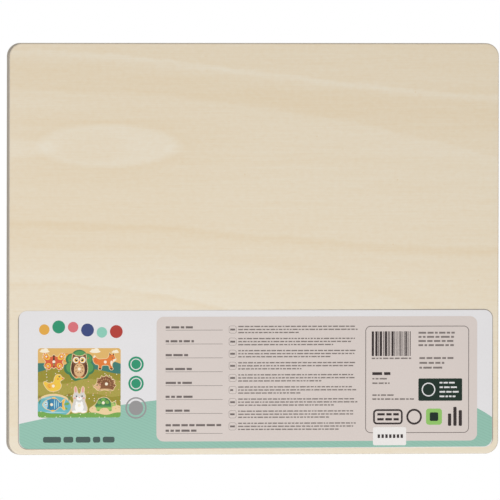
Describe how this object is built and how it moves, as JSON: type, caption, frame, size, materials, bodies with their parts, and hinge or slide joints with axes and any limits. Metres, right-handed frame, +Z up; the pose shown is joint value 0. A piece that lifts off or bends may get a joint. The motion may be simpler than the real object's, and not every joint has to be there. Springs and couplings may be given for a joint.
{
  "type": "wooden animal puzzle",
  "caption": "Flat plywood peg puzzle with rounded corners, whose animal pieces lift out of matching recesses by turned pegs, with a paper label on its plain back.",
  "frame": {"origin": "under the middle of the board, on the surface that it lies on face up", "axes": "+X along the board's long side to the right as seen from the front, +Y to its top edge, +Z up out of the front"},
  "size_m": [0.3, 0.248, 0.0193],
  "materials": {
    "plywood": "plain sanded plywood, satin",
    "label_paper": "coated printed paper, satin",
    "sticker_paper": "plain white paper, matte",
    "owl_paint": "brown print on plywood, satin",
    "rabbit_paint": "pale grey print on plywood, satin",
    "butterfly_paint": "red-orange print on plywood, satin",
    "duck_paint": "yellow print on plywood, satin",
    "fish_paint": "blue print on plywood, satin",
    "fox_paint": "orange print on plywood, satin",
    "hedgehog_paint": "brown print on plywood, satin",
    "turtle_paint": "green print on plywood, satin",
    "peg_wood": "turned pale hardwood, satin"
  },
  "bodies": {
    "board": {"backing_board": "plywood", "frame_board": "plywood", "product_label": "label_paper", "lot_sticker": "sticker_paper"},
    "owl": {"owl_piece": "owl_paint", "owl_peg": "peg_wood"},
    "rabbit": {"rabbit_piece": "rabbit_paint", "rabbit_peg": "peg_wood"},
    "butterfly": {"butterfly_piece": "butterfly_paint", "butterfly_peg": "peg_wood"},
    "duck": {"duck_piece": "duck_paint", "duck_peg": "peg_wood"},
    "fish": {"fish_piece": "fish_paint", "fish_peg": "peg_wood"},
    "fox": {"fox_piece": "fox_paint", "fox_peg": "peg_wood"},
    "hedgehog": {"hedgehog_piece": "hedgehog_paint", "hedgehog_peg": "peg_wood"},
    "turtle": {"turtle_piece": "turtle_paint", "turtle_peg": "peg_wood"}
  },
  "joints": [
    {"name": "owl_lift", "type": "slide", "parent": "board", "child": "owl", "axis": [0, 0, 1], "range_m": [0, 0.05]},
    {"name": "rabbit_lift", "type": "slide", "parent": "board", "child": "rabbit", "axis": [0, 0, 1], "range_m": [0, 0.05]},
    {"name": "butterfly_lift", "type": "slide", "parent": "board", "child": "butterfly", "axis": [0, 0, 1], "range_m": [0, 0.05]},
    {"name": "duck_lift", "type": "slide", "parent": "board", "child": "duck", "axis": [0, 0, 1], "range_m": [0, 0.05]},
    {"name": "fish_lift", "type": "slide", "parent": "board", "child": "fish", "axis": [0, 0, 1], "range_m": [0, 0.05]},
    {"name": "fox_lift", "type": "slide", "parent": "board", "child": "fox", "axis": [0, 0, 1], "range_m": [0, 0.05]},
    {"name": "hedgehog_lift", "type": "slide", "parent": "board", "child": "hedgehog", "axis": [0, 0, 1], "range_m": [0, 0.05]},
    {"name": "turtle_lift", "type": "slide", "parent": "board", "child": "turtle", "axis": [0, 0, 1], "range_m": [0, 0.05]}
  ]
}
